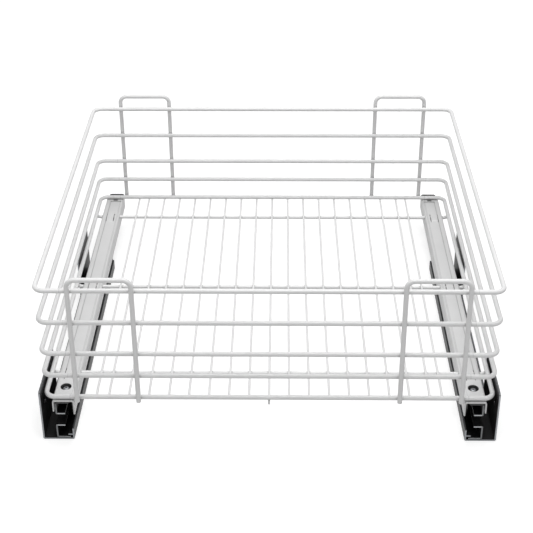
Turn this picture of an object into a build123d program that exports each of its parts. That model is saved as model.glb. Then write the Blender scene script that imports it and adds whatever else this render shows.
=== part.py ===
from build123d import *
import os

# Pull-out cabinet basket: a welded wire basket that rides on two full extension
# ball runners. Millimetres. X is to the right, Y to the rear, Z up. The origin is
# on the underside of the runner trays, midway across the width and the depth.

os.makedirs("parts", exist_ok=True)

# ---------------------------------------------------------------- driving sizes
clear_width = 564.0        # inside a 600 mm cabinet with 18 mm sides
ring_wire = 6.0            # diameter of the ring and loop wires
cross_wire = 5.0           # diameter of the three cross wires under the floor
floor_wire = 3.0           # diameter of the thin floor wires

ring_inset = 7.0           # from the cabinet side to the centreline of a ring's side wire
ring_depth = 508.0         # between the centrelines of a ring's front and rear wires
ring_corner = 12.0         # centreline corner radius of a ring
ring_heights = (62.0, 94.5, 127.0, 172.0, 217.0)   # centreline heights, lowest first

loop_inset = 40.5          # from the ring's side wire to a loop's outer leg, on the centrelines
loop_width = 75.0          # between the centrelines of a loop's legs
loop_rise = 18.5           # from the top ring to a loop's top bar, on the centrelines
loop_foot = 59.5           # height of the cut ends of the legs
loop_corner = 10.0         # centreline corner radius of a loop

floor_pitch = 24.7         # spacing of the floor wires
floor_edge_gap = 15.3      # from the last regular wire to the extra edge wire
floor_side_gap = 20.0      # least gap between the extra edge wire and the channel
floor_end_gap = 0.2        # from a floor wire's rear end to the ring's underside curve
floor_front = 2.0          # the front ends stop this far behind the front wire's centreline
floor_crank_y = 22.0       # where the front ends crank down, from the front wire
floor_crank_run = 12.0     # length of that crank
floor_bend = 8.0           # bend radius of the crank
stub_drop = 5.5            # how far the centre wire's end turns down past the others
stub_bend = 2.2

cross_front = 57.0         # from the ring's front wire to the first cross wire
cross_rear = 53.0          # from the last cross wire to the ring's rear wire
cross_overhang = 2.0       # the ends reach this far past the ring's centreline
cross_crank_run = 4.5      # the ends crank up to the ring over this length
cross_bend = 6.0

channel_inset = 42.5       # from the cabinet side to the inner face of the channel's inner leg
channel_width = 27.0
channel_sheet = 1.5
channel_front = -5.0       # from the front wire's centreline
channel_past = 11.0        # the channel reaches this far past the rear wire's centreline
channel_inner_leg = 20.7   # height of the inner leg
channel_outer_leg = 16.5   # height of the outer leg
channel_bend = 3.0
panel_edges = (2.6, 19.8)  # pressed panel along the top, from the channel's inner face
panel_ends = (45.0, 19.0)  # plain lengths: behind the front wire, and at the channel's rear
panel_depth = 1.0
wire_hole_clearance = 0.1  # round the cross wires, on the radius
bridge_front = 18.0        # lanced bridge: this far in front of its cross wire
bridge_rear = 5.0          # and this far behind
bridge_slope = 4.0         # length of its ramps
bridge_rise = 1.4
bridge_edges = (8.5, 18.6)    # from the channel's inner face
bridge_slit = 0.9          # slits beside the bridge
hook_slot = (7.0, 3.0)     # slot at the channel's rear for the runner's hook
hook_inset = 12.0          # from the channel's inner face
hook_ahead = 16.0          # from the channel's rear end
hook_shoulder = 12.0       # width of the shoulder that carries the channel
hook_clearance = 0.5       # round the hook, in its slot

tray_sheet = 2.0
tray_inset = 3.0           # from the channel's inner face to the tray's
tray_front = -6.0
tray_rear = 390.0
tray_inner_wall = 16.5     # heights above the floor's underside
tray_outer_lip = 9.0
tray_bend = 2.5
ear_front_length = 94.0    # the two tall ears that screw to the cabinet side
ear_rear_length = 87.0
ear_top = 72.0
ear_corner = 3.0
mount_front_y = 16.5       # first screw hole of the front ear
mount_rear_ahead = 51.0    # from the first screw hole of the rear ear to the tray's end
mount_pitch = 32.0         # system holes
mount_z = 42.0
mount_hole = 2.6           # radius
fold_line_z = 60.5         # row of small punched holes
fold_hole = 1.6            # radius
fold_pitch = 12.5
fold_margin = 5.6          # from the last hole to the ear's end
notch_radius = 1.3

rail_sheet = 1.8           # profiles of the runner
rail_web_inset = 25.0      # these are from the channel's inner face: outer face of the webs
rail_flange_inset = 13.5   # free edge of the narrow flanges
rail_wide_inset = 8.0      # free edge of the topmost and the lowest flange
rail_bend = 0.8
ball = 6.35                 # ball diameter
ball_clearance = 0.075     # over and under each ball
ball_inset = 17.5
middle_web_inset = 9.1     # inner face of the middle profile's web
middle_flange_inset = 20.2 # free edge of its flanges
cage_sheet = 1.2
cage_web_inset = 22.1      # outer face of the cage
pocket_clearance = 0.1     # round each ball in its pocket, on the radius
rail_ends = {              # front end, and what is left behind the rear end
    "cabinet": (-5.0, 5.5),    # the first two are measured against the tray's rear
    "middle": (25.0, 6.0),
    "drawer": (0.0, 6.0),      # and this one against the channel's
}
cage_ends = {"lower": (105.0, 115.0), "upper": (130.0, 25.0)}    # against the tray's rear
ball_pitch = 38.0          # least spacing of the balls in a row
ball_margin = 9.0          # from a cage's end to its first ball

rivet_radius = 2.0         # the rivets are flush, because balls roll over them
rivet_ends = (30.0, 36.0)
rivet_inset = 19.5

screw_inset = 14.0
screw_y = 23.5
screw_shank = 2.5          # radius
screw_head_radius = 4.3
screw_head = 3.2
screw_length = 4.8
dish_top_radius = 6.9      # cone pressed into the channel for the screw head
dish_seat_radius = 5.7
dish_wall = 1.2
screw_drive = 2.8          # arm length of the cross recess
screw_drive_width = 1.4
screw_drive_depth = 1.8

stop_length = 5.0          # buffer at the rear of each tray
stop_height = 28.0
stop_round = 3.0
lug_length = 6.0           # folded lug at the front of the tray's inner wall
lug_z = 6.8
lug_reach = 5.5

cap_edges = (1.0, 23.5)    # plastic plug at the channel's rear end
cap_length = 5.0
cap_plug = 5.0
cap_clearance = 0.2
cap_drop = 12.0            # the middle profile passes under the plug when the basket is out
cap_round = 2.0
cap_chamfer = 2.0

# --------------------------------------------------------------- derived places
wire_radius = ring_wire / 2
cross_radius = cross_wire / 2
floor_radius = floor_wire / 2
loop_front = 2 * wire_radius + wire_radius      # loop's front face to the front wire's centreline
channel_rear = ring_depth + channel_past
rear_reach = channel_rear + cap_length          # rearmost point behind the front wire's centreline
front_y = loop_front - (loop_front + rear_reach) / 2

ring_z = ring_heights[0]
seat_z = ring_z - wire_radius                   # underside of the lowest ring
side_x = clear_width / 2
half_width = side_x - ring_inset
loop_outer_x = half_width - loop_inset
loop_top = ring_heights[-1] + loop_rise
channel_inner_x = side_x - channel_inset
channel_outer_x = channel_inner_x + channel_width
panel_x = [channel_inner_x + edge for edge in panel_edges]
bridge_x = [channel_inner_x + edge for edge in bridge_edges]
cap_x = [channel_inner_x + edge for edge in cap_edges]
hook_x = channel_inner_x + hook_inset
screw_x = channel_inner_x + screw_inset
rivet_x = channel_inner_x + rivet_inset
ball_x = channel_inner_x + ball_inset
tray_inner_x = channel_inner_x + tray_inset
tray_outer_x = side_x
rail_web_x = channel_inner_x + rail_web_inset
rail_flange_x = channel_inner_x + rail_flange_inset
rail_wide_x = channel_inner_x + rail_wide_inset
middle_web_x = channel_inner_x + middle_web_inset
middle_flange_x = channel_inner_x + middle_flange_inset
cage_web_x = channel_inner_x + cage_web_inset

panel_y = (panel_ends[0], channel_rear - panel_ends[1])
hook_y = channel_rear - hook_ahead
cross_ys = (cross_front, (cross_front + ring_depth - cross_rear) / 2, ring_depth - cross_rear)
ear_front = (tray_front, tray_front + ear_front_length)
ear_rear = (tray_rear - ear_rear_length, tray_rear)
mount_rear_y = tray_rear - mount_rear_ahead
cabinet_rail = (rail_ends["cabinet"][0], tray_rear - rail_ends["cabinet"][1])
middle_rail = (rail_ends["middle"][0], tray_rear - rail_ends["middle"][1])
drawer_rail = (rail_ends["drawer"][0], channel_rear - rail_ends["drawer"][1])
cages = {level: (front, tray_rear - behind) for level, (front, behind) in cage_ends.items()}
rivet_last = tray_rear - rivet_ends[1]
rivet_ys = (rivet_ends[0], (rivet_ends[0] + rivet_last) / 2, rivet_last)

channel_under = seat_z - channel_sheet
cross_z = seat_z - panel_depth - cross_radius - 0.1
rail_high = cross_z - cross_radius - 0.1        # top of the drawer profile, just under the cross wires

race = ball + 2 * ball_clearance                # height of the gap that the balls run in
hem = 2 * rail_sheet                            # the middle profile's lower flange is folded double
rail_low = tray_sheet
rail_low_top = rail_low + 2 * rail_sheet + 2 * race + hem
rail_high_bottom = rail_high - 3 * rail_sheet - 2 * race
middle_low = rail_low + rail_sheet + race
middle_high = rail_high - rail_sheet - race


def y_at(distance):
    """Y of a point that lies this far behind the front wires' centreline."""
    return front_y + distance


def save_shape(shape, name):
    """Label a finished shape and write it."""
    shape.label = name
    export_step(shape, f"parts/{name}.step")


def save(builder, name):
    """Write the part of a builder."""
    save_shape(builder.part, name)


def save_pair(builder, name):
    """Write the right-hand piece and its mirror image."""
    save(builder, f"right_{name}")
    with BuildPart() as left:
        mirror(builder.part, about=Plane.YZ)
    save(left, f"left_{name}")


# ---------------------------------------------------------------- basket: rings
# Each ring is one bent wire. It is written as four straight stretches and four bends
# that meet face to face, so that a simulator's hulls keep to the corners.
for number, height in enumerate(reversed(ring_heights), start=1):
    with BuildLine(Plane.XY.offset(height)) as ring_path:
        FilletPolyline(
            (-half_width, y_at(0)),
            (half_width, y_at(0)),
            (half_width, y_at(ring_depth)),
            (-half_width, y_at(ring_depth)),
            radius=ring_corner,
            close=True,
        )
    stretches = []
    for route in ring_path.edges():
        with BuildPart() as stretch:
            with BuildSketch(Plane(origin=route @ 0, z_dir=route % 0)):
                Circle(wire_radius)
            sweep(path=route)
        stretches.append(stretch.part.solid())
    save_shape(Compound(stretches), f"ring_{number}")

# ---------------------------------------------------------------- basket: loops
loop_planes = {"front": y_at(-2 * wire_radius), "rear": y_at(ring_depth + 2 * wire_radius)}
for side, loop_y in loop_planes.items():
    with BuildPart() as loop:
        with BuildLine() as loop_path:
            FilletPolyline(
                (loop_outer_x, loop_y, loop_foot),
                (loop_outer_x, loop_y, loop_top),
                (loop_outer_x - loop_width, loop_y, loop_top),
                (loop_outer_x - loop_width, loop_y, loop_foot),
                radius=loop_corner,
            )
        route = loop_path.wire()
        with BuildSketch(Plane(origin=route @ 0, z_dir=route % 0)):
            Circle(wire_radius)
        sweep(path=route)
    save_pair(loop, f"{side}_loop")

# --------------------------------------------------------- basket: floor wires
floor_z = cross_z + cross_radius + floor_radius
floor_front_z = ring_z - (wire_radius**2 - floor_front**2) ** 0.5 - floor_radius
pitches_aside = int((channel_inner_x - floor_side_gap - floor_edge_gap) / floor_pitch)
regular_xs = [floor_pitch * step for step in range(-pitches_aside, pitches_aside + 1)]
edge_x = regular_xs[-1] + floor_edge_gap
rear_drop = ring_z - (floor_z + floor_radius)
floor_rear = ring_depth - (wire_radius**2 - rear_drop**2) ** 0.5 - floor_end_gap
crank_end = floor_crank_y - floor_crank_run

with BuildPart() as floor_wires:
    for wire_x in [-edge_x, *regular_xs, edge_x]:
        floor_points = [
            (wire_x, y_at(floor_rear), floor_z),
            (wire_x, y_at(floor_crank_y), floor_z),
            (wire_x, y_at(crank_end), floor_front_z),
            (wire_x, y_at(floor_front), floor_front_z),
        ]
        floor_bends = [floor_bend, floor_bend]
        if wire_x == 0:
            stub_z = seat_z - floor_radius
            floor_points[2:] = [
                (wire_x, y_at(crank_end), stub_z),
                (wire_x, y_at(0), stub_z),
                (wire_x, y_at(0), stub_z - stub_drop),
            ]
            floor_bends.append(stub_bend)
        with BuildLine() as floor_path:
            FilletPolyline(*floor_points, radius=floor_bends)
        route = floor_path.wire()
        with BuildSketch(Plane(origin=route @ 0, z_dir=route % 0)):
            Circle(floor_radius)
        sweep(path=route)
save(floor_wires, "floor_wires")

# --------------------------------------------------------- basket: cross wires
cross_end_x = half_width + cross_overhang
cross_end_z = seat_z - cross_radius
crank_out_x = half_width - wire_radius
crank_in_x = crank_out_x - cross_crank_run
for name, cross_y in zip(("front", "middle", "rear"), cross_ys):
    with BuildPart() as cross:
        with BuildLine() as cross_path:
            FilletPolyline(
                (-cross_end_x, y_at(cross_y), cross_end_z),
                (-crank_out_x, y_at(cross_y), cross_end_z),
                (-crank_in_x, y_at(cross_y), cross_z),
                (crank_in_x, y_at(cross_y), cross_z),
                (crank_out_x, y_at(cross_y), cross_end_z),
                (cross_end_x, y_at(cross_y), cross_end_z),
                radius=cross_bend,
            )
        route = cross_path.wire()
        with BuildSketch(Plane(origin=route @ 0, z_dir=route % 0)):
            Circle(cross_radius)
        sweep(path=route)
    save(cross, f"{name}_cross_wire")

# -------------------------------------------------------- basket: side channels
channel_length = channel_rear - channel_front
panel_middle = ((panel_x[0] + panel_x[1]) / 2, y_at((panel_y[0] + panel_y[1]) / 2))
panel_width = panel_x[1] - panel_x[0]
panel_length = panel_y[1] - panel_y[0]
dish_depth = seat_z - rail_high - channel_sheet
with BuildPart() as channel:
    with BuildSketch(Plane.XZ.offset(-y_at(channel_front))):
        with BuildLine():
            Polyline(
                (channel_inner_x, seat_z - channel_inner_leg),
                (channel_inner_x, seat_z),
                (channel_outer_x, seat_z),
                (channel_outer_x, seat_z - channel_outer_leg),
                (channel_outer_x - channel_sheet, seat_z - channel_outer_leg),
                (channel_outer_x - channel_sheet, channel_under),
                (channel_inner_x + channel_sheet, channel_under),
                (channel_inner_x + channel_sheet, seat_z - channel_inner_leg),
                close=True,
            )
        make_face()
    extrude(amount=-channel_length)
    long_edges = channel.edges().filter_by(Axis.Y)
    fillet(long_edges.group_by(Axis.Z)[-1], channel_bend)
    inner_bends = channel.edges().filter_by(Axis.Y).filter_by_position(
        Axis.Z, channel_under - 0.01, channel_under + 0.01
    )
    fillet(inner_bends, channel_bend - channel_sheet)
    # The pressed panel: sunk on top, proud underneath.
    with BuildSketch(Plane.XY.offset(channel_under - panel_depth)):
        with Locations(panel_middle):
            Rectangle(panel_width, panel_length)
    extrude(amount=panel_depth)
    with BuildSketch(Plane.XY.offset(seat_z - panel_depth)):
        with Locations(panel_middle):
            Rectangle(panel_width, panel_length)
    extrude(amount=panel_depth, mode=Mode.SUBTRACT)
    # Holes in both legs for the cross wires, and a slot for each through the panel.
    for cross_y in cross_ys:
        with BuildSketch(Plane.YZ.offset(channel_inner_x - 1)):
            with Locations((y_at(cross_y), cross_z)):
                Circle(cross_radius + wire_hole_clearance)
        extrude(amount=channel_width + 2, mode=Mode.SUBTRACT)
    # Lanced bridges over the cross wires.
    bridge_low = seat_z - panel_depth
    for cross_y in cross_ys:
        with BuildSketch(Plane.YZ.offset(bridge_x[0])):
            with BuildLine():
                Polyline(
                    (y_at(cross_y - bridge_front), bridge_low),
                    (y_at(cross_y - bridge_front + bridge_slope), bridge_low + bridge_rise),
                    (y_at(cross_y + bridge_rear - bridge_slope / 2), bridge_low + bridge_rise),
                    (y_at(cross_y + bridge_rear), bridge_low),
                    close=True,
                )
            make_face()
        extrude(amount=bridge_x[1] - bridge_x[0])
        with BuildSketch(Plane.XY.offset(seat_z)):
            with Locations(
                *[
                    (slit_x, y_at(cross_y + (bridge_rear - bridge_front) / 2))
                    for slit_x in (bridge_x[0] - bridge_slit / 2, bridge_x[1] + bridge_slit / 2)
                ]
            ):
                Rectangle(bridge_slit, bridge_front + bridge_rear)
        extrude(amount=-channel_sheet - panel_depth, mode=Mode.SUBTRACT)
    # The cone that reaches down to the runner and holds the screw head.
    with Locations((screw_x, y_at(screw_y), rail_high)):
        Cone(
            dish_seat_radius + dish_wall,
            dish_top_radius + dish_wall,
            channel_under - rail_high,
            align=(Align.CENTER, Align.CENTER, Align.MIN),
        )
    with Locations((screw_x, y_at(screw_y), seat_z - dish_depth)):
        Cone(
            dish_seat_radius,
            dish_top_radius,
            dish_depth,
            align=(Align.CENTER, Align.CENTER, Align.MIN),
            mode=Mode.SUBTRACT,
        )
    with BuildSketch(Plane.XY.offset(seat_z)):
        with Locations((screw_x, y_at(screw_y))):
            Circle(screw_shank + wire_hole_clearance)
        with Locations((hook_x, y_at(hook_y))):
            Rectangle(*hook_slot)
    extrude(amount=rail_high - seat_z, mode=Mode.SUBTRACT)
save_pair(channel, "side_channel")

# ---------------------------------------------------------- basket: rear plugs
with BuildPart() as cap:
    with BuildSketch(Plane.XZ.offset(-y_at(channel_rear))):
        with Locations(((cap_x[0] + cap_x[1]) / 2, seat_z - cap_drop / 2)):
            Rectangle(cap_x[1] - cap_x[0], cap_drop)
    extrude(amount=-cap_length)
    chamfer(cap.edges().filter_by(Axis.Z).group_by(Axis.Y)[-1], cap_chamfer)
    plug_low = seat_z - cap_drop
    plug_high = channel_under - cap_clearance
    plug_in = channel_inner_x + channel_sheet + cap_clearance
    with BuildSketch(Plane.XZ.offset(-y_at(channel_rear))):
        with Locations(((plug_in + cap_x[1]) / 2, (plug_low + plug_high) / 2)):
            Rectangle(cap_x[1] - plug_in, plug_high - plug_low)
    extrude(amount=cap_plug)
    plug_edges = cap.edges().filter_by(Axis.Y).filter_by_position(
        Axis.Z, plug_high - 0.01, plug_high + 0.01
    )
    fillet(plug_edges.sort_by(Axis.X)[0], cap_round)
save_pair(cap, "channel_plug")

# ------------------------------------------------------ basket: drawer profiles
with BuildPart() as drawer:
    with BuildSketch(Plane.XZ.offset(-y_at(drawer_rail[0]))):
        with BuildLine():
            Polyline(
                (rail_wide_x, rail_high),
                (rail_web_x, rail_high),
                (rail_web_x, rail_high_bottom),
                (rail_flange_x, rail_high_bottom),
                (rail_flange_x, rail_high_bottom + rail_sheet),
                (rail_web_x - rail_sheet, rail_high_bottom + rail_sheet),
                (rail_web_x - rail_sheet, rail_high - rail_sheet),
                (rail_wide_x, rail_high - rail_sheet),
                close=True,
            )
        make_face()
    extrude(amount=-(drawer_rail[1] - drawer_rail[0]))
    fillet(drawer.edges().filter_by(Axis.Y).group_by(Axis.X)[-1], rail_bend)
    with BuildSketch(Plane.XY.offset(rail_high)):
        with Locations((screw_x, y_at(screw_y))):
            Circle(screw_shank + wire_hole_clearance)
    extrude(amount=-rail_sheet, mode=Mode.SUBTRACT)
    # The hook: its shoulder carries the channel and its tongue stands in the slot.
    with BuildSketch(Plane.XY.offset(rail_high)):
        with Locations((hook_x, y_at(hook_y))):
            Rectangle(hook_shoulder, hook_slot[1] - 2 * hook_clearance)
    extrude(amount=channel_under - rail_high)
    with BuildSketch(Plane.XY.offset(channel_under)):
        with Locations((hook_x, y_at(hook_y))):
            Rectangle(hook_slot[0] - 2 * hook_clearance, hook_slot[1] - 2 * hook_clearance)
    extrude(amount=channel_sheet)
save_pair(drawer, "drawer_profile")

# ---------------------------------------------------------- basket: front screws
screw_seat = seat_z - dish_depth
with BuildPart() as screw:
    with BuildSketch(Plane.XY.offset(screw_seat)):
        with Locations((screw_x, y_at(screw_y))):
            Circle(screw_head_radius)
    extrude(amount=screw_head)
    fillet(screw.edges().group_by(Axis.Z)[-1], screw_head / 3)
    with BuildSketch(Plane.XY.offset(screw_seat)):
        with Locations((screw_x, y_at(screw_y))):
            Circle(screw_shank)
    extrude(amount=-screw_length)
    with BuildSketch(Plane.XY.offset(screw_seat + screw_head)):
        with Locations((screw_x, y_at(screw_y))):
            Rectangle(2 * screw_drive, screw_drive_width)
            Rectangle(screw_drive_width, 2 * screw_drive)
    extrude(amount=-screw_drive_depth, mode=Mode.SUBTRACT)
save_pair(screw, "front_screw")

# ---------------------------------------------------------- cabinet side: trays
tray_length = tray_rear - tray_front
with BuildPart() as tray:
    with BuildSketch(Plane.XZ.offset(-y_at(tray_front))):
        with BuildLine():
            Polyline(
                (tray_inner_x, tray_inner_wall),
                (tray_inner_x, 0),
                (tray_outer_x, 0),
                (tray_outer_x, tray_outer_lip),
                (tray_outer_x - tray_sheet, tray_outer_lip),
                (tray_outer_x - tray_sheet, tray_sheet),
                (tray_inner_x + tray_sheet, tray_sheet),
                (tray_inner_x + tray_sheet, tray_inner_wall),
                close=True,
            )
        make_face()
    extrude(amount=-tray_length)
    for ear in (ear_front, ear_rear):
        with BuildSketch(Plane.YZ.offset(tray_outer_x - tray_sheet)) as ear_sketch:
            with Locations((y_at((ear[0] + ear[1]) / 2), (tray_sheet + ear_top) / 2)):
                Rectangle(ear[1] - ear[0], ear_top - tray_sheet)
            fillet(ear_sketch.vertices().group_by(Axis.Y)[-1], ear_corner)
        extrude(amount=tray_sheet)
    fillet(tray.edges().filter_by(Axis.Y).group_by(Axis.Z)[0], tray_bend)
    # Screw holes for the cabinet side.
    for first in (mount_front_y, mount_rear_y):
        with BuildSketch(Plane.YZ.offset(tray_outer_x)):
            with Locations((y_at(first), mount_z), (y_at(first + mount_pitch), mount_z)):
                Circle(mount_hole)
        extrude(amount=-tray_sheet, mode=Mode.SUBTRACT)
    # The punched row under each ear's upper edge, and the notches above it.
    for ear in (ear_front, ear_rear):
        usable = ear[1] - ear[0] - 2 * fold_margin
        count = int(usable / fold_pitch) + 1
        middle = y_at((ear[0] + ear[1]) / 2)
        with BuildSketch(Plane.YZ.offset(tray_outer_x)):
            with Locations((middle, fold_line_z)):
                with GridLocations(fold_pitch, 1, count, 1):
                    Circle(fold_hole)
            with Locations((middle, ear_top)):
                with GridLocations(2 * fold_pitch, 1, count // 2, 1):
                    Circle(notch_radius)
        extrude(amount=-tray_sheet, mode=Mode.SUBTRACT)
    # Rivet holes under the cabinet profile.
    with BuildSketch(Plane.XY):
        with Locations(*[(rivet_x, y_at(rivet_y)) for rivet_y in rivet_ys]):
            Circle(rivet_radius)
    extrude(amount=tray_sheet, mode=Mode.SUBTRACT)
    # The lug folded out of the inner wall at the front.
    with BuildSketch(Plane.XY.offset(lug_z)):
        with Locations((tray_inner_x + tray_sheet + lug_reach / 2, y_at(tray_front + lug_length / 2))):
            Rectangle(lug_reach, lug_length)
    extrude(amount=rail_sheet)
save_pair(tray, "tray")

# ----------------------------------------------- cabinet side: cabinet profiles
with BuildPart() as cabinet:
    with BuildSketch(Plane.XZ.offset(-y_at(cabinet_rail[0]))):
        with BuildLine():
            Polyline(
                (rail_wide_x, rail_low),
                (rail_web_x, rail_low),
                (rail_web_x, rail_low_top),
                (rail_flange_x, rail_low_top),
                (rail_flange_x, rail_low_top - rail_sheet),
                (rail_web_x - rail_sheet, rail_low_top - rail_sheet),
                (rail_web_x - rail_sheet, rail_low + rail_sheet),
                (rail_wide_x, rail_low + rail_sheet),
                close=True,
            )
        make_face()
    extrude(amount=-(cabinet_rail[1] - cabinet_rail[0]))
    fillet(cabinet.edges().filter_by(Axis.Y).group_by(Axis.X)[-1], rail_bend)
    with BuildSketch(Plane.XY.offset(rail_low)):
        with Locations(*[(rivet_x, y_at(rivet_y)) for rivet_y in rivet_ys]):
            Circle(rivet_radius)
    extrude(amount=rail_sheet, mode=Mode.SUBTRACT)
save_pair(cabinet, "cabinet_profile")

# ------------------------------------------------------ cabinet side: rivets
with BuildPart() as rivets:
    with BuildSketch(Plane.XY):
        with Locations(*[(rivet_x, y_at(rivet_y)) for rivet_y in rivet_ys]):
            Circle(rivet_radius)
    extrude(amount=tray_sheet + rail_sheet)
save_pair(rivets, "rivets")

# -------------------------------------------------------- cabinet side: buffers
with BuildPart() as stop:
    with BuildSketch(Plane.XY.offset(tray_sheet)):
        with Locations(
            ((tray_inner_x + tray_sheet + rail_web_x) / 2, y_at(tray_rear - stop_length / 2))
        ):
            Rectangle(rail_web_x - tray_inner_x - tray_sheet, stop_length)
    extrude(amount=stop_height - tray_sheet)
    fillet(stop.edges().filter_by(Axis.Y).group_by(Axis.Z)[-1], stop_round)
save_pair(stop, "rear_buffer")

# ------------------------------------------------------------- middle profiles
with BuildPart() as middle_part:
    with BuildSketch(Plane.XZ.offset(-y_at(middle_rail[0]))):
        with BuildLine():
            Polyline(
                (middle_web_x, middle_low),
                (middle_flange_x, middle_low),
                (middle_flange_x, middle_low + hem),
                (middle_web_x + rail_sheet, middle_low + hem),
                (middle_web_x + rail_sheet, middle_high - rail_sheet),
                (middle_flange_x, middle_high - rail_sheet),
                (middle_flange_x, middle_high),
                (middle_web_x, middle_high),
                close=True,
            )
        make_face()
    extrude(amount=-(middle_rail[1] - middle_rail[0]))
    fillet(middle_part.edges().filter_by(Axis.Y).group_by(Axis.X)[0], rail_bend)
save_pair(middle_part, "middle_profile")


# ------------------------------------------------------------ cages and balls
def ball_rows(flange_low, flange_high):
    """Heights of the two rows of balls that run under and over a flange."""
    return flange_low - race / 2, flange_high + race / 2


def ball_ys(span):
    """Evenly spaced places for the balls along a cage."""
    first = span[0] + ball_margin
    row_length = span[1] - span[0] - 2 * ball_margin
    steps = int(row_length / ball_pitch)
    return [y_at(first + row_length / steps * index) for index in range(steps + 1)]


def make_cage(span, rows):
    """The C-shaped cage round one flange, with a pocket for every ball."""
    low, high = rows
    with BuildPart() as cage:
        with BuildSketch(Plane.XZ.offset(-y_at(span[0]))):
            for row in rows:
                with Locations(((rail_flange_x + cage_web_x) / 2, row)):
                    Rectangle(cage_web_x - rail_flange_x, cage_sheet)
            with Locations((cage_web_x - cage_sheet / 2, (low + high) / 2)):
                Rectangle(cage_sheet, high - low + cage_sheet)
        extrude(amount=-(span[1] - span[0]))
        with BuildSketch(Plane.XY.offset(low - cage_sheet)):
            with Locations(*[(ball_x, place) for place in ball_ys(span)]):
                Circle(ball / 2 + pocket_clearance)
        extrude(amount=high - low + 2 * cage_sheet, mode=Mode.SUBTRACT)
    return cage


def make_balls(span, rows):
    """The balls of one cage, as a group of separate solids."""
    with BuildPart() as balls:
        for row in rows:
            with Locations(*[(ball_x, place, row) for place in ball_ys(span)]):
                Sphere(ball / 2)
    return balls


lower_rows = ball_rows(middle_low, middle_low + hem)
upper_rows = ball_rows(middle_high - rail_sheet, middle_high)
for level, rows in (("lower", lower_rows), ("upper", upper_rows)):
    save_pair(make_cage(cages[level], rows), f"{level}_cage")
    save_pair(make_balls(cages[level], rows), f"{level}_balls")
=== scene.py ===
# %% [markdown]
# # A pull-out cabinet basket, dressed for its picture
# The solids of this part come from CAD and are already the right shape: a basket of
# white wire, two pressed side channels, and two ball runners in dark steel trays.
# This script keeps them where they are and adds what a workshop adds to them: welds,
# paint, plating, screws, and the soft light of a product photograph. Lengths are in
# millimetres until they reach Blender, which works in metres.

# %% Load the frame
import math

import bmesh
import bpy
from mathutils import Matrix, Vector


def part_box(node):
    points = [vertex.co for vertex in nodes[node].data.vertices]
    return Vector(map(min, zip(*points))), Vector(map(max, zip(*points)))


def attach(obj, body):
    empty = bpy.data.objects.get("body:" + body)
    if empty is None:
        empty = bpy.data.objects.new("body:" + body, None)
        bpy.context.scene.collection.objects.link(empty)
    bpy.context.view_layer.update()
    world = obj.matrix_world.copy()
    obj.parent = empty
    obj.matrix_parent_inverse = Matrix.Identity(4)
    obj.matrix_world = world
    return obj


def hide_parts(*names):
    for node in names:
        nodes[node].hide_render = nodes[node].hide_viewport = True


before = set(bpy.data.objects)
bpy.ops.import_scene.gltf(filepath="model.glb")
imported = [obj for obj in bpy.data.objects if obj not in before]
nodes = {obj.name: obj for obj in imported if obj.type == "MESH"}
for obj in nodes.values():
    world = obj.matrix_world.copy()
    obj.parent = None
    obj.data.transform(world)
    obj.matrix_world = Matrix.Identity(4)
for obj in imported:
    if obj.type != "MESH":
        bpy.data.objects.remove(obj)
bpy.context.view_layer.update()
MM = 0.001

# %% [markdown]
# ## Measuring the solids
# Each weld and screw has to sit on a solid that is already there. Its place could be
# typed in, but the box round a solid can be asked for, and then the two can't disagree.


# %% Measures of the solids
def span_of(node):
    """Lowest and highest corner of a solid's box, in millimetres."""
    low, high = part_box(node)
    return low / MM, high / MM


def middle_of(node):
    """Centre of a solid's box, in millimetres."""
    low, high = span_of(node)
    return (low + high) / 2


print("right channel's centre:", [round(c, 1) for c in middle_of("right_side_channel")])

# %% [markdown]
# ## Helpers for materials
# Colours are easiest to think of as the hex codes that a paint program shows. Blender
# computes in linear light, so one function converts them. A second one adds a shader
# node, sets its values and links its inputs, so that a finish reads as a short list.
# Two more start a material and turn the real size of a pattern into its texture scale.


# %% Colour and node helpers
def paint(code):
    """An sRGB hex code as linear red, green, blue and a full alpha."""
    channels = [int(code[at : at + 2], 16) / 255 for at in (1, 3, 5)]
    linear = [c / 12.92 if c <= 0.04045 else ((c + 0.055) / 1.055) ** 2.4 for c in channels]
    return (*linear, 1.0)


def add(tree, kind, values=None, links=None, **settings):
    """Add a node of this kind, with its settings, its input values and its input links."""
    node = tree.nodes.new(kind)
    for name, value in settings.items():
        setattr(node, name, value)
    for name, value in (values or {}).items():
        node.inputs[name].default_value = value
    for name, socket in (links or {}).items():
        tree.links.new(socket, node.inputs[name])
    return node


def start_finish(name):
    """A new material with an empty tree and its output node."""
    material = bpy.data.materials.new(name)
    material.use_nodes = True
    tree = material.node_tree
    tree.nodes.clear()
    return material, tree, add(tree, "ShaderNodeOutputMaterial")


def per_mm(size_mm):
    """The texture scale that gives one feature every so many millimetres."""
    return 1 / (size_mm * MM)


print("a 1 mm pattern has the scale", per_mm(1.0))

# %% [markdown]
# ## Painted shade on the white coat
# White turns grey where little light gets in, and here that shade is painted into the
# coat's colour. Ambient occlusion measures how closed in a place is, and with it the
# colour is darkened where wires touch and in the channels' folds. Two more places are told
# by where they lie: the shadowed dish round each front screw gets a nearly black painted
# shadow, and the groove that is pressed along each channel a line of painted shade. They
# could be cut into the mesh, but they are so narrow that a painted shade says as much. X
# is taken without its sign, so that one centre and one line serve the left and the right.

# %% Places that get painted shade
CLOSED_IN, WIDE_OPEN = 0.3, 0.95  # occlusion values that count as closed and as open
DISH_DEPTH = 1.5
DISH_RADIUS = 7.1
DISH_RIM = 0.25
# painted shadow: inside the dish round each screw the colour drops to this share, nearly
# black
DISH_PAINTED_SHADE = 0.06
# painted shade: a dark line along each channel's pressed groove
GROOVE_INSET = 4.6
GROOVE_HALF_WIDTH = 0.45
GROOVE_SHADE = 0.16

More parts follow.
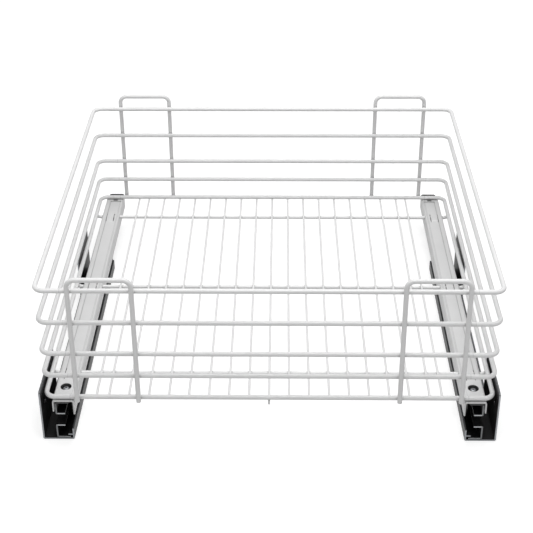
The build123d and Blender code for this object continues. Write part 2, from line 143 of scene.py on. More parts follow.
screw_low, screw_high = span_of("right_front_screw")
DISH_CENTRE = (screw_low + screw_high) / 2
DISH_CENTRE.z = screw_high.z - DISH_DEPTH
GROOVE_X = span_of("right_side_channel")[0].x + GROOVE_INSET
print("dish centre:", [round(c, 1) for c in DISH_CENTRE], "groove at", round(GROOVE_X, 1))


def painted_shade_share(tree, place, crevice_mm, crevice_painted_shade):
    """Painted shade: 1 on open coat, and less in a crevice, in the dish and on the groove.
    """
    # painted shade: the colour is darkened where ambient occlusion finds a crevice
    reach = add(tree, "ShaderNodeAmbientOcclusion", {"Distance": crevice_mm * MM})
    crevices = add(
        tree,
        "ShaderNodeMapRange",
        {
            "From Min": CLOSED_IN,
            "From Max": WIDE_OPEN,
            "To Min": crevice_painted_shade,
            "To Max": 1.0,
        },
        {"Value": reach.outputs["AO"]},
    )
    spot = add(tree, "ShaderNodeSeparateXYZ", links={"Vector": place})
    aside = add(tree, "ShaderNodeMath", links={0: spot.outputs["X"]}, operation="ABSOLUTE")
    mirrored = add(
        tree,
        "ShaderNodeCombineXYZ",
        links={"X": aside.outputs[0], "Y": spot.outputs["Y"], "Z": spot.outputs["Z"]},
    )
    from_centre = add(
        tree,
        "ShaderNodeVectorMath",
        {1: DISH_CENTRE * MM},
        {0: mirrored.outputs["Vector"]},
        operation="DISTANCE",
    )
    # painted shadow in the dish round each front screw
    dish = add(
        tree,
        "ShaderNodeMapRange",
        {
            "From Min": DISH_RADIUS * MM,
            "From Max": (DISH_RADIUS + DISH_RIM) * MM,
            "To Min": DISH_PAINTED_SHADE,
            "To Max": 1.0,
        },
        {"Value": from_centre.outputs["Value"]},
    )
    # painted shade on the groove line
    on_groove = add(
        tree,
        "ShaderNodeMath",
        {1: GROOVE_X * MM, 2: GROOVE_HALF_WIDTH * MM},
        {0: aside.outputs[0]},
        operation="COMPARE",
    )
    groove = add(
        tree,
        "ShaderNodeMath",
        {1: -GROOVE_SHADE, 2: 1.0},
        {0: on_groove.outputs[0]},
        operation="MULTIPLY_ADD",
    )
    kept = crevices.outputs["Result"]
    for share in (dish.outputs["Result"], groove.outputs[0]):
        kept = add(
            tree, "ShaderNodeMath", links={0: kept, 1: share}, operation="MULTIPLY"
        ).outputs[0]
    return kept


# %% [markdown]
# ## Satin white powder coat
# Powder coat is polyester dust, baked until it melts. It flows into a satin skin that
# hides the steel, with a faint orange peel of about a millimetre from crest to crest and
# a tone that drifts over some centimetres. The skin could be modelled, but waves of a few
# hundredths of a millimetre show only in the gloss, so a bump texture draws them. The
# IOR of 1.5 is that of polyester. The pressed sheet is a little greyer and rougher than
# the drawn wire.

# %% Powder coat
PEEL_HEIGHT = 0.03
DRIFT_SIZE = 38.0
DRIFT_TONE = 0.965
DRIFT_FROM, DRIFT_TO = 0.35, 0.62  # the part of the noise over which the tone changes


def powder_coat(name, colour, roughness, peel_mm, crevice_mm, crevice_painted_shade):
    """White baked powder with orange peel, a slow drift in tone and painted shade in
    crevices.
    """
    material, tree, output = start_finish(name)
    place = add(tree, "ShaderNodeTexCoord").outputs["Object"]
    peel = add(
        tree,
        "ShaderNodeTexNoise",
        {"Scale": per_mm(peel_mm), "Detail": 2.0, "Roughness": 0.5},
        {"Vector": place},
    )
    drift = add(
        tree,
        "ShaderNodeTexNoise",
        {"Scale": per_mm(DRIFT_SIZE), "Detail": 3.0, "Roughness": 0.6},
        {"Vector": place},
    )
    tone = add(tree, "ShaderNodeValToRGB", links={"Fac": drift.outputs["Fac"]})
    light = paint(colour)
    duller, lighter = tone.color_ramp.elements
    duller.position, lighter.position = DRIFT_FROM, DRIFT_TO
    duller.color = (*[DRIFT_TONE * c for c in light[:3]], 1)
    lighter.color = light
    # the coat's colour times its painted shade
    shaded_colour = add(
        tree,
        "ShaderNodeVectorMath",
        links={
            0: tone.outputs["Color"],
            "Scale": painted_shade_share(tree, place, crevice_mm, crevice_painted_shade),
        },
        operation="SCALE",
    )
    matt = add(
        tree,
        "ShaderNodeMapRange",
        {"To Min": roughness - 0.04, "To Max": roughness + 0.06},
        {"Value": drift.outputs["Fac"]},
    )
    skin = add(
        tree,
        "ShaderNodeBump",
        {"Strength": 0.35, "Distance": PEEL_HEIGHT * MM},
        {"Height": peel.outputs["Fac"]},
    )
    surface = add(
        tree,
        "ShaderNodeBsdfPrincipled",
        {"IOR": 1.5},
        {
            "Base Color": shaded_colour.outputs["Vector"],
            "Roughness": matt.outputs["Result"],
            "Normal": skin.outputs["Normal"],
        },
    )
    tree.links.new(surface.outputs["BSDF"], output.inputs["Surface"])
    return material


coated_wire = powder_coat(
    "polyester_powder_coat_on_drawn_wire",
    "#E5E5E5",
    roughness=0.36,
    peel_mm=1.1,
    crevice_mm=4.0,
    crevice_painted_shade=0.72,
)
coated_sheet = powder_coat(
    "polyester_powder_coat_on_pressed_sheet",
    "#D3D3D3",
    roughness=0.42,
    peel_mm=1.4,
    crevice_mm=2.2,
    crevice_painted_shade=0.4,
)
print("powder coats:", coated_wire.name, coated_sheet.name)

# %% [markdown]
# ## Where black sheet shows bare metal
# The trays and profiles are cut from coil that was dipped in black electro-coat. Their
# sheared ends show grey zinc, and that thin bright line is what draws the runner's
# shape in the picture. The ends could be picked by hand and given a second material.
# Here a mask finds them by the direction in which a face looks, so that it holds for
# every piece. The trays' upper edges are sheared too and are found by their height, and
# a strip along the top of each ear is drawn partly in zinc, a lighter grey. On the outer
# profiles the ends of the web and of the top flange lie deeper in shadow, so their zinc
# is dimmed with painted shade, as in the picture.

# %% Sheared edges
SQUARE_ON = 0.9  # the cosine above which a face looks straight along an axis
EDGE_REACH = 0.3  # how far above or below its height an upper edge is still found
FADE_HALF_WIDTH = 0.2
# painted shade: the outer profiles' web and top flange ends lie in shadow, so their zinc is
# dimmed to these shares
WEB_X = 262.6
WEB_SHADED_BARE = 0.4
TOP_FLANGE_Z = 50.4
TOP_FLANGE_SHADED_BARE = 0.06
# the top strip of each ear turns partly to zinc from 60.3 mm up, a lighter grey
EAR_STRIP_START_Z, EAR_STRIP_FULL_Z = 60.3, 61.0
EAR_STRIP_ZINC = 0.42


def bare_share(tree, top_edges_mm, painted_shade_on_web):
    """The share of bare metal: 1 on sheared ends and edges, some on the ears' top strip,
    0 on the coated faces, and less on the web and top flange ends, where it is painted
    shade.
    """
    place = add(tree, "ShaderNodeTexCoord")
    facing = add(tree, "ShaderNodeSeparateXYZ", links={"Vector": place.outputs["Normal"]})
    spot = add(tree, "ShaderNodeSeparateXYZ", links={"Vector": place.outputs["Object"]})
    along = add(
        tree, "ShaderNodeMath", links={0: facing.outputs["Y"]}, operation="ABSOLUTE"
    )
    share = add(
        tree,
        "ShaderNodeMath",
        {1: SQUARE_ON},
        {0: along.outputs[0]},
        operation="GREATER_THAN",
    ).outputs[0]
    if painted_shade_on_web:
        aside = add(
            tree, "ShaderNodeMath", links={0: spot.outputs["X"]}, operation="ABSOLUTE"
        )
        # painted shade on the web and top flange ends
        for source, border, bare in (
            (aside.outputs[0], WEB_X, WEB_SHADED_BARE),
            (spot.outputs["Z"], TOP_FLANGE_Z, TOP_FLANGE_SHADED_BARE),
        ):
            fall = add(
                tree,
                "ShaderNodeMapRange",
                {
                    "From Min": (border - FADE_HALF_WIDTH) * MM,
                    "From Max": (border + FADE_HALF_WIDTH) * MM,
                    "To Min": 1.0,
                    "To Max": bare,
                },
                {"Value": source},
            )
            share = add(
                tree,
                "ShaderNodeMath",
                links={0: share, 1: fall.outputs["Result"]},
                operation="MULTIPLY",
            ).outputs[0]
    if top_edges_mm:
        upward = add(
            tree,
            "ShaderNodeMath",
            {1: SQUARE_ON},
            {0: facing.outputs["Z"]},
            operation="GREATER_THAN",
        )
        ear_strip = add(
            tree,
            "ShaderNodeMapRange",
            {"From Min": EAR_STRIP_START_Z * MM, "From Max": EAR_STRIP_FULL_Z * MM, "To Max": EAR_STRIP_ZINC},
            {"Value": spot.outputs["Z"]},
        )
        bare_places = [ear_strip.outputs["Result"]]
        for height in top_edges_mm:
            near = add(
                tree,
                "ShaderNodeMath",
                {1: height * MM, 2: EDGE_REACH * MM},
                {0: spot.outputs["Z"]},
                operation="COMPARE",
            )
            edge = add(
                tree,
                "ShaderNodeMath",
                links={0: near.outputs[0], 1: upward.outputs[0]},
                operation="MULTIPLY",
            )
            bare_places.append(edge.outputs[0])
        for bare in bare_places:
            share = add(
                tree, "ShaderNodeMath", links={0: share, 1: bare}, operation="MAXIMUM"
            ).outputs[0]
    return share


# %% [markdown]
# ## Black electro-coated steel
# Electro-coat is a thin black epoxy, smooth and deep, with an IOR of 1.5. The sheet was
# rolled before, which leaves faint lines along its length, and where it was sheared the
# zinc is torn into a fine grain. Both are bumps, because they are far too low to model.
# Real rolling lines are a tenth of a millimetre apart. Here they are 0.7 mm apart, which
# is as fine as the picture can show. The trays' coat is a dark grey, lighter than the
# profiles' black. The middle profiles lie deep in the runner's shadow, so their ends are
# given a near-black painted shade in place of bright zinc.

# %% Electro-coat
ROLL_LINE_PITCH = 0.7
ROLL_LINE_LENGTH = 90.0
ROLL_LINE_HEIGHT = 0.02
SHEAR_GRAIN = 0.5
SHEAR_HEIGHT = 0.05


def electro_coat(name, bare, coat_colour="#0B0B0C", top_edges_mm=(), painted_shade_on_web=False):
    """Black dipped coat over rolled steel, bare metal on the sheared edges."""
    material, tree, output = start_finish(name)
    place = add(tree, "ShaderNodeTexCoord").outputs["Object"]
    across, lengthwise = per_mm(ROLL_LINE_PITCH), per_mm(ROLL_LINE_LENGTH)
    stretched = add(
        tree,
        "ShaderNodeMapping",
        {"Scale": (across, lengthwise, across)},
        {"Vector": place},
    )
    lines = add(
        tree,
        "ShaderNodeTexNoise",
        {"Scale": 1.0, "Detail": 2.0},
        {"Vector": stretched.outputs["Vector"]},
    )
    roll = add(
        tree,
        "ShaderNodeBump",
        {"Strength": 0.12, "Distance": ROLL_LINE_HEIGHT * MM},
        {"Height": lines.outputs["Fac"]},
    )
    haze = add(
        tree,
        "ShaderNodeMapRange",
        {"To Min": 0.4, "To Max": 0.55},
        {"Value": lines.outputs["Fac"]},
    )
    coat = add(
        tree,
        "ShaderNodeBsdfPrincipled",
        {"Base Color": paint(coat_colour), "IOR": 1.5},
        {"Roughness": haze.outputs["Result"], "Normal": roll.outputs["Normal"]},
    )
    shear = add(
        tree,
        "ShaderNodeTexNoise",
        {"Scale": per_mm(SHEAR_GRAIN), "Detail": 3.0},
        {"Vector": place},
    )
    burr = add(
        tree,
        "ShaderNodeBump",
        {"Strength": 0.3, "Distance": SHEAR_HEIGHT * MM},
        {"Height": shear.outputs["Fac"]},
    )
    zinc = add(
        tree,
        "ShaderNodeBsdfPrincipled",
        {"Base Color": paint(bare), "Metallic": 1.0, "Roughness": 0.42},
        {"Normal": burr.outputs["Normal"]},
    )
    mixed = add(
        tree,
        "ShaderNodeMixShader",
        links={
            0: bare_share(tree, top_edges_mm, painted_shade_on_web),
            1: coat.outputs["BSDF"],
            2: zinc.outputs["BSDF"],
        },
    )
    tree.links.new(mixed.outputs[0], output.inputs["Surface"])
    return material


INNER_WALL_TOP = 16.5
LIP_TOP = 9.0
EAR_TOP = 72.0
# the trays' coat is given a dark grey, lighter than the profiles' black
tray_steel = electro_coat(
    "electro_coated_rolled_steel_tray",
    "#8E9093",
    "#1B1B1C",
    (INNER_WALL_TOP, LIP_TOP, EAR_TOP),
)
rail_steel = electro_coat("electro_coated_roll_formed_rail", "#9A9C9E", painted_shade_on_web=True)
# painted shade: the middle profiles' cut ends get near black instead of zinc
shaded_inner_rail_steel = electro_coat("electro_coated_rail_with_painted_shade_on_ends", "#131314")
print("electro-coats:", tray_steel.name, rail_steel.name, shaded_inner_rail_steel.name)

# %% [markdown]
# ## Plated and polished metal
# Rivets, cages and screws are zinc plated: a cool grey metal with small crystals that
# vary its gloss. Bearing balls are hardened steel, polished until they mirror. The
# crystals could be a picture, but a Voronoi texture is made of cells like theirs. They
# are finer than a pixel on the real parts, so here they are drawn about a millimetre
# wide. A metal keeps the default IOR, because its base colour says how it reflects.


# %% Small metal parts
def plated_metal(name, colour, roughness, crystal_mm, spread):
    """A bare or plated metal whose gloss changes from crystal to crystal."""
    material, tree, output = start_finish(name)
    place = add(tree, "ShaderNodeTexCoord").outputs["Object"]
    crystals = add(
        tree, "ShaderNodeTexVoronoi", {"Scale": per_mm(crystal_mm)}, {"Vector": place}
    )
    grey = add(tree, "ShaderNodeRGBToBW", links={"Color": crystals.outputs["Color"]})
    gloss = add(
        tree,
        "ShaderNodeMapRange",
        {"To Min": roughness - spread, "To Max": roughness + spread},
        {"Value": grey.outputs["Val"]},
    )
    surface = add(
        tree,
        "ShaderNodeBsdfPrincipled",
        {"Base Color": paint(colour), "Metallic": 1.0},
        {"Roughness": gloss.outputs["Result"]},
    )
    tree.links.new(surface.outputs["BSDF"], output.inputs["Surface"])
    return material


zinc_plate = plated_metal(
    "zinc_plated_steel", "#A9ADB2", roughness=0.3, crystal_mm=0.9, spread=0.07
)
screw_zinc = plated_metal(
    "zinc_plated_cold_headed_steel", "#9EA0A3", roughness=0.55, crystal_mm=0.7, spread=0.05
)
ball_steel = plated_metal(
    "polished_bearing_steel", "#C6C8CA", roughness=0.09, crystal_mm=2.0, spread=0.02
)
print("metals:", zinc_plate.name, screw_zinc.name, ball_steel.name)

# %% [markdown]
# ## Moulded plastic and rubber
# The channels' plugs are polyamide with the fine grain of their mould, which breaks the
# gloss into a soft sheen, and the rear buffers are matt nitrile rubber. The grain could
# be carved, but at under a tenth of a millimetre a bump looks the same. The IOR values,
# 1.53 and 1.52, are those of the two materials.


# %% Small moulded parts
def moulded(name, colour, roughness, grain_mm, grain_height_mm, ior):
    """A moulded plastic or rubber with the grain of its tool."""
    material, tree, output = start_finish(name)
    place = add(tree, "ShaderNodeTexCoord").outputs["Object"]
    grain = add(
        tree,
        "ShaderNodeTexNoise",
        {"Scale": per_mm(grain_mm), "Detail": 4.0},
        {"Vector": place},
    )
    relief = add(
        tree,
        "ShaderNodeBump",
        {"Strength": 0.5, "Distance": grain_height_mm * MM},
        {"Height": grain.outputs["Fac"]},
    )
    sheen = add(
        tree,
        "ShaderNodeMapRange",
        {"To Min": roughness - 0.06, "To Max": roughness + 0.06},
        {"Value": grain.outputs["Fac"]},
    )
    surface = add(
        tree,
        "ShaderNodeBsdfPrincipled",
        {"Base Color": paint(colour), "IOR": ior},
        {"Roughness": sheen.outputs["Result"], "Normal": relief.outputs["Normal"]},
    )
    tree.links.new(surface.outputs["BSDF"], output.inputs["Surface"])
    return material


plug_plastic = moulded(
    "grained_moulded_polyamide",
    "#232324",
    roughness=0.5,
    grain_mm=0.6,
    grain_height_mm=0.05,
    ior=1.53,
)
buffer_rubber = moulded(
    "moulded_nitrile_rubber",
    "#161617",
    roughness=0.72,
    grain_mm=0.8,
    grain_height_mm=0.08,
    ior=1.52,
)
print("moulded:", plug_plastic.name, buffer_rubber.name)

# %% [markdown]
# ## Give every solid its finish
# The solids are right as they are, so each keeps its mesh and only swaps its material.
# It could be done one by one, but a word in each name already says what the piece is.
# The first word that fits decides, so the longer words stand before the shorter ones
# that they hold.

# %% Finishes on the solids
FINISHES = {
    "ring": coated_wire,
    "loop": coated_wire,
    "wire": coated_wire,
    "channel_plug": plug_plastic,
    "side_channel": coated_sheet,
    "tray": tray_steel,
    "middle_profile": shaded_inner_rail_steel,
    "profile": rail_steel,
    "balls": ball_steel,
    "cage": zinc_plate,
    "rivets": zinc_plate,
    "front_screw": screw_zinc,
    "buffer": buffer_rubber,
}
for name, node in nodes.items():
    finish = next(look for word, look in FINISHES.items() if word in name)
    node.data.materials.clear()
    node.data.materials.append(finish)
print("finishes given to", len(nodes), "solids")

# %% [markdown]
# ## Welds
# A wire basket is spot welded: two crossing wires are squeezed between electrodes, melt
# where they touch and sink a little into each other. What is left is a small saddle of
# metal beside the contact, rounded over by the powder. It could be blended into both
# wires with a boolean and a bevel, but a squashed, slightly uneven bead that bridges
# them looks the same under the coat, and is simple to repeat at every crossing.

# %% A mesh of beads
BEAD_UNEVENNESS = 0.05
WAVE_ACROSS, WAVE_UP = 3.1, 2.3
WAVE_SHIFT = 0.37  # for each millimetre along X, so that neighbours aren't alike


def bead(mesh, centre, half_sizes):
    """Add one weld bead, an ellipsoid with a slightly uneven surface."""
    shape = Matrix.LocRotScale(Vector(centre) * MM, None, Vector(half_sizes) * MM)
    made = bmesh.ops.create_uvsphere(mesh, u_segments=14, v_segments=9, radius=1.0)
    for vertex in made["verts"]:
        spot = vertex.co
        phase = WAVE_ACROSS * spot.x + WAVE_UP * spot.z + WAVE_SHIFT * centre[0]
        vertex.co = shape @ (spot * (1 + BEAD_UNEVENNESS * math.sin(phase)))


def mesh_object(name, mesh):
    """Turn a bmesh into an object of the scene."""
    data = bpy.data.meshes.new(name)
    mesh.to_mesh(data)
    mesh.free()
    piece = bpy.data.objects.new(name, data)
    bpy.context.scene.collection.objects.link(piece)
    return piece


def make_piece(name, mesh, finish, body):
    """Turn a bmesh into a smooth piece that rides on a body."""
    for face in mesh.faces:
        face.smooth = True
    piece = mesh_object(name, mesh)
    piece.data.materials.append(finish)
    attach(piece, body)
    print(name, "faces:", len(piece.data.polygons))


# %% Where the wires run
RING_RADIUS = 3.0
CROSS_RADIUS = 2.5
ring_low, ring_high = span_of("ring_5")
ring_front = ring_low.y + RING_RADIUS
ring_rear = ring_high.y - RING_RADIUS
ring_side = ring_high.x - RING_RADIUS
ring_heights = [middle_of(f"ring_{number}").z for number in range(1, 6)]
lowest_ring = ring_heights[-1]
print("ring centrelines at", [round(height, 1) for height in ring_heights])

# %% Welds between the rings and the loops
LOOP_BEAD = (2.3, 1.15, 2.3)
loop_welds = bmesh.new()
for side in ("left", "right"):
    for end, ring_y, outward in (("front", ring_front, -1), ("rear", ring_rear, 1)):
        low, high = span_of(f"{side}_{end}_loop")
        contact_y = ring_y + outward * RING_RADIUS
        for leg_x in (low.x + RING_RADIUS, high.x - RING_RADIUS):
            for height in ring_heights:
                bead(loop_welds, (leg_x, contact_y, height), LOOP_BEAD)
make_piece("loop_welds", loop_welds, coated_wire, "basket")

# %% Welds of the floor wires
FLOOR_PITCH = 24.7
FLOOR_EDGE = 212.9
FLOOR_BEAD = (1.35, 1.8, 0.75)
END_DROP = 2.2  # from the lowest ring's centreline down to the floor wires' end welds
FRONT_END, FRONT_END_BEAD = ring_front + 2.4, (1.35, 1.5, 0.7)
REAR_END, REAR_END_BEAD = ring_rear - 2.6, (1.3, 0.9, 0.9)

floor_xs = [FLOOR_PITCH * step for step in range(-8, 9)] + [-FLOOR_EDGE, FLOOR_EDGE]
cross_names = ("front_cross_wire", "middle_cross_wire", "rear_cross_wire")
floor_welds = bmesh.new()
for name in cross_names:
    cross = middle_of(name)
    contact_z = span_of(name)[0].z + 2 * CROSS_RADIUS
    for wire_x in floor_xs:
        bead(floor_welds, (wire_x, cross.y, contact_z), FLOOR_BEAD)
for wire_x in floor_xs:
    bead(floor_welds, (wire_x, FRONT_END, lowest_ring - END_DROP), FRONT_END_BEAD)
    bead(floor_welds, (wire_x, REAR_END, lowest_ring - END_DROP), REAR_END_BEAD)
make_piece("floor_welds", floor_welds, coated_wire, "basket")

# %% [markdown]
# ## Welds that hold the channels
# The cross wires run through the legs of the two pressed channels and end under the
# lowest ring. Each passage has a fillet of weld round it, and the channels' ends are
# tacked to the ring's front and rear wires from below. A fillet could be turned to its
# exact section, but under the coat the same bead, wide and flat, looks like one.

# %% Channel welds
LEG_BEAD = (1.0, 3.1, 3.1)
RING_BEAD = (1.9, 2.1, 0.9)
TACK_BEAD = (2.6, 2.1, 0.7)
TACK_INSET = 3.5

channel_low, channel_high = span_of("right_side_channel")
channel_welds = bmesh.new()
for sign in (-1, 1):
    for name in cross_names:
        cross = middle_of(name)
        cross_z = span_of(name)[0].z + CROSS_RADIUS
        for leg_x in (channel_low.x, channel_high.x):
            bead(channel_welds, (sign * leg_x, cross.y, cross_z), LEG_BEAD)
        bead(channel_welds, (sign * ring_side, cross.y, ring_low.z), RING_BEAD)
    for tack_x in (channel_low.x + TACK_INSET, channel_high.x - TACK_INSET):
        for tack_y in (ring_front, ring_rear):
            bead(channel_welds, (sign * tack_x, tack_y, ring_low.z), TACK_BEAD)
make_piece("channel_welds", channel_welds, coated_sheet, "basket")


# %% [markdown]
# ## Butt welds in the rings
# Each ring is one wire, bent round and welded end to end. The joint is ground and
# powdered, and stays visible as a soft swelling of a few tenths of a millimetre. The
# wire itself could be sculpted, but a thin collar that starts just under its skin
# leaves the solid alone.

# %% Butt weld collars
COLLAR_TURNS = 28
COLLAR_ROWS = 9
COLLAR_SINK = 0.02
COLLAR_SWELL = 0.28
COLLAR_HALF_LENGTH = 2.6


def skin_over(mesh, rings):
    """Span faces from each ring of points to the next, and close both ends."""
    for first, second in zip(rings, rings[1:]):
        for turn in range(len(first)):
            after = (turn + 1) % len(first)
            mesh.faces.new((first[turn], first[after], second[after], second[turn]))
    mesh.faces.new(rings[0][::-1])
    mesh.faces.new(rings[-1])


def collar(mesh, centre):
    """Add a soft swelling round a ring's wire where it runs along X."""
    rings = []
    for row in range(COLLAR_ROWS):
        along = -1 + 2 * row / (COLLAR_ROWS - 1)
        swell = COLLAR_SWELL * math.cos(along * math.pi / 2) ** 2
        reach = RING_RADIUS - COLLAR_SINK + swell
        ring = []
        for turn in range(COLLAR_TURNS):
            angle = 2 * math.pi * turn / COLLAR_TURNS
            spot = Vector(
                (
                    centre[0] + along * COLLAR_HALF_LENGTH,
                    centre[1] + reach * math.cos(angle),
                    centre[2] + reach * math.sin(angle),
                )
            )
            ring.append(mesh.verts.new(spot * MM))
        rings.append(ring)
    skin_over(mesh, rings)


BUTT_WELD_X = (196.0, 204.0, 191.0, 208.0, 199.0)
butt_welds = bmesh.new()
for weld_x, height in zip(BUTT_WELD_X, ring_heights):
    collar(butt_welds, (weld_x, ring_rear, height))
make_piece("butt_welds", butt_welds, coated_wire, "basket")


# %% [markdown]
# ## Front screws
# A pan-head screw with a cross recess holds each channel to its runner. The CAD screw
# is the right size, but plain. This one is turned from an outline with a dome and a
# thread of plain ridges, because a real helix wouldn't show. The recess could be drawn
# into the outline's faces by hand, but a boolean cuts it in one step and is then
# applied, so the mesh is final. Its cutter is a cross of two tall blocks that reach far
# above the head and lean in a little towards their foot.

# %% The screw's outline and its cutter
HEAD_HEIGHT = 3.2
HEAD_EDGE = 0.4  # the height of the slanted edge under the dome
HEAD_UNDERCUT = 0.35
DOME_STEPS = 8
DOME_FULLNESS = 0.6
DOME_FLAT = 0.01
SHANK_RADIUS = 2.4
THREAD_DEPTH = 0.4
THREAD_PITCH = 0.6
TIP_RADIUS = 1.2
TIP_LENGTH = 0.5
PLAIN_SHANK = 1.0
SCREW_TURNS = 40
# Each end of the cutter: its height over the head's top, arm length and half width.
CUTTER_ENDS = ((600.0, 2.9, 0.75), (-1.9, 1.305, 0.585))


def screw_outline(tip, top, head_radius):
    """The (radius, height) pairs of a screw, from its tip to the top of its dome."""
    seat = top - HEAD_HEIGHT
    root = SHANK_RADIUS - THREAD_DEPTH
    height = tip + TIP_LENGTH
    outline = [(TIP_RADIUS, tip), (root, height)]
    while height < seat - PLAIN_SHANK:
        outline.append((SHANK_RADIUS, height + THREAD_PITCH / 2))
        height += THREAD_PITCH
        outline.append((root, height))
    outline += [(SHANK_RADIUS, seat - THREAD_PITCH / 2), (SHANK_RADIUS, seat)]
    outline += [(head_radius - HEAD_UNDERCUT, seat), (head_radius, seat + HEAD_EDGE)]
    for step in range(1, DOME_STEPS + 1):
        angle = step / DOME_STEPS * math.pi / 2
        radius = head_radius * math.cos(angle) ** DOME_FULLNESS + DOME_FLAT
        rise = (HEAD_HEIGHT - HEAD_EDGE) * math.sin(angle)
        outline.append((radius, seat + HEAD_EDGE + rise))
    return outline


def turned(outline):
    """Revolve an outline about Z, closed at both ends."""
    mesh = bmesh.new()
    angles = [2 * math.pi * turn / SCREW_TURNS for turn in range(SCREW_TURNS)]
    rings = [
        [
            mesh.verts.new(Vector((radius * math.cos(a), radius * math.sin(a), z)) * MM)
            for a in angles
        ]
        for radius, z in outline
    ]
    skin_over(mesh, rings)
    return mesh


def cross_cutter(top):
    """The cross of two tall blocks that cuts the recess."""
    mesh = bmesh.new()
    for quarter in (0, math.pi / 2):
        turn = Matrix.Rotation(quarter, 3, "Z")
        ends = [
            [
                mesh.verts.new(turn @ Vector((x * arm, y * half_width, top + rise)) * MM)
                for x, y in ((-1, -1), (1, -1), (1, 1), (-1, 1))
            ]
            for rise, arm, half_width in CUTTER_ENDS
        ]
        skin_over(mesh, ends)
    bmesh.ops.recalc_face_normals(mesh, faces=mesh.faces)
    return mesh


# %% Screws with a cross recess
CROSS_ANGLE = math.radians(28)
SHARP_ANGLE = math.radians(35)


def screw(side):
    """The detailed screw that stands for one CAD screw."""
    low, high = span_of(f"{side}_front_screw")
    outline = screw_outline(low.z, high.z, (high.x - low.x) / 2)
    piece = mesh_object(f"{side}_screw", turned(outline))
    cutter = mesh_object("cross", cross_cutter(high.z))
    cut = piece.modifiers.new("recess", "BOOLEAN")
    cut.operation = "DIFFERENCE"
    cut.solver = "EXACT"
    cut.use_self = True
    cut.object = cutter
    bpy.context.view_layer.update()
    done = bpy.data.meshes.new_from_object(
        piece.evaluated_get(bpy.context.evaluated_depsgraph_get())
    )
    piece.modifiers.clear()
    piece.data = done
    bpy.data.objects.remove(cutter)
    for face in done.polygons:
        face.use_smooth = True
    done.set_sharp_from_angle(angle=SHARP_ANGLE)
    centre = Vector(((low.x + high.x) / 2, (low.y + high.y) / 2, 0)) * MM
    done.transform(Matrix.Translation(centre) @ Matrix.Rotation(CROSS_ANGLE, 4, "Z"))
    done.materials.clear()
    done.materials.append(screw_zinc)
    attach(piece, "basket")
    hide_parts(f"{side}_front_screw")
    print(piece.name, "faces:", len(done.polygons))


for side in ("left", "right"):
    screw(side)

# %% [markdown]
# ## Floor and world
# The picture was taken on seamless white under big soft lights. The floor is a matt
# white that takes the shadow. More lamps would turn it white, but would burn out the
# basket too. So to the camera, to mirror-like faces and through clear ones it also glows
# a little, while the light that falls on the basket stays plain. The world behind the
# floor is white to the camera in the same way.

# %% Floor
FLOOR_HALF_SIZE = 12000.0
FLOOR_GAP = 0.2
FLOOR_GLOW = 0.66


def seen_by(tree, first_ray, *other_rays):
    """1 for the rays that look at a backdrop, 0 for those that carry its light."""
    rays = add(tree, "ShaderNodeLightPath")
    seen = rays.outputs[first_ray]
    for ray in other_rays:
        seen = add(
            tree,
            "ShaderNodeMath",
            links={0: seen, 1: rays.outputs[ray]},
            operation="MAXIMUM",
        ).outputs[0]
    return seen


floor_mesh = bmesh.new()
bmesh.ops.create_grid(floor_mesh, x_segments=1, y_segments=1, size=FLOOR_HALF_SIZE * MM)
studio_floor = mesh_object("studio_floor", floor_mesh)
studio_floor.location.z = -FLOOR_GAP * MM

white_floor, tree, output = start_finish("white_seamless_floor")
seen = seen_by(tree, "Is Camera Ray", "Is Glossy Ray", "Is Transmission Ray")
glow_strength = add(
    tree, "ShaderNodeMath", {1: FLOOR_GLOW}, {0: seen}, operation="MULTIPLY"
)
matt_white = add(tree, "ShaderNodeBsdfDiffuse", {"Color": paint("#BDBDBD")})
glow = add(
    tree,
    "ShaderNodeEmission",
    {"Color": paint("#FFFFFF")},
    {"Strength": glow_strength.outputs[0]},
)
both = add(
    tree, "ShaderNodeAddShader", links={0: matt_white.outputs[0], 1: glow.outputs[0]}
)
tree.links.new(both.outputs[0], output.inputs["Surface"])
studio_floor.data.materials.append(white_floor)
print("floor:", 2 * FLOOR_HALF_SIZE * MM, "m wide, glow", FLOOR_GLOW)

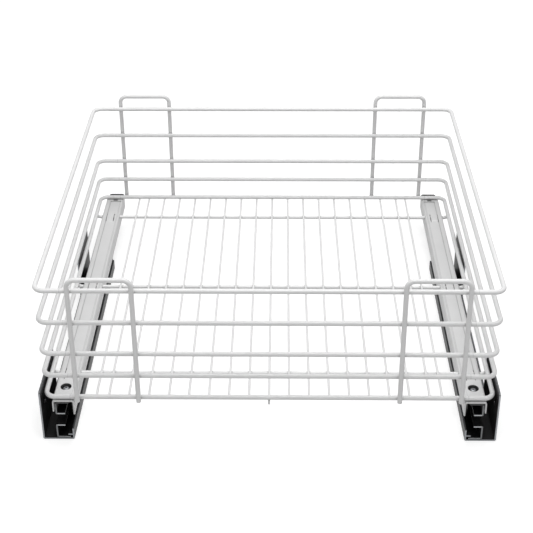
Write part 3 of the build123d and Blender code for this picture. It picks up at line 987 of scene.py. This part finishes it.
# %% World
WORLD_LIGHT = 0.37
world = bpy.data.worlds.new("soft_studio")
bpy.context.scene.world = world
world.use_nodes = True
tree = world.node_tree
tree.nodes.clear()
strength = add(
    tree,
    "ShaderNodeMapRange",
    {"To Min": WORLD_LIGHT, "To Max": 1.0},
    {"Value": seen_by(tree, "Is Camera Ray", "Is Transmission Ray")},
)
sky = add(
    tree,
    "ShaderNodeBackground",
    {"Color": paint("#FFFFFF")},
    {"Strength": strength.outputs["Result"]},
)
add(tree, "ShaderNodeOutputWorld", links={"Surface": sky.outputs["Background"]})
print("world light:", WORLD_LIGHT)

# %% [markdown]
# ## Lamps
# The shadow in the picture is short and very soft, and lies nearly under the basket. So
# the main light is a wide softbox overhead, and two weak ones at the front open up the
# dark side of the wires. A sun or a spot would draw hard lines on the floor instead.

# %% Softboxes
LAMP_AIM = Vector((0, 0, 0.1))  # in metres, as the places and sides below
SOFTBOXES = {  # each one's place, its side and its power in watts
    "top_softbox": ((0.1, 0.1, 2.3), 1.3, 36),
    "left_softbox": ((-1.2, -1.7, 1.8), 1.0, 8),
    "right_softbox": ((1.2, -1.7, 1.8), 1.0, 7),
}
for name, (place, size, power) in SOFTBOXES.items():
    lamp = bpy.data.lights.new(name, "AREA")
    lamp.shape = "SQUARE"
    lamp.size = size
    lamp.energy = power
    holder = bpy.data.objects.new(name, lamp)
    holder.location = place
    holder.rotation_euler = (LAMP_AIM - Vector(place)).to_track_quat("-Z", "Y").to_euler()
    bpy.context.scene.collection.objects.link(holder)
print("softboxes:", len(SOFTBOXES))

# %% [markdown]
# ## Camera
# A camera could be turned by eye until the wires match. This one's place, direction and
# focal length were worked out from the corners of the rings in the picture, which is
# far closer. The picture was cropped off centre, which a small lens shift repeats.

# %% Camera
CAMERA_PLACE = Vector((14.57, -1398.98, 971.46)) * MM
CAMERA_RIGHT = Vector((0.99991756, 0.01213904, -0.0041843))
CAMERA_UP = Vector((-0.00211803, 0.47735494, 0.87870802))
CAMERA_BACK = Vector((0.01266407, -0.87862672, 0.4773413))
lens = bpy.data.cameras.new("camera")
lens.sensor_width = 36.0
lens.lens = 79.18
lens.shift_y = -0.1435
camera = bpy.data.objects.new("camera", lens)
turn = Matrix((CAMERA_RIGHT, CAMERA_UP, CAMERA_BACK)).transposed()
camera.matrix_world = Matrix.Translation(CAMERA_PLACE) @ turn.to_4x4()
bpy.context.scene.collection.objects.link(camera)
bpy.context.scene.camera = camera
bpy.context.scene.view_settings.view_transform = "Standard"
print("camera:", lens.lens, "mm lens,", round(CAMERA_PLACE.length, 2), "m away")
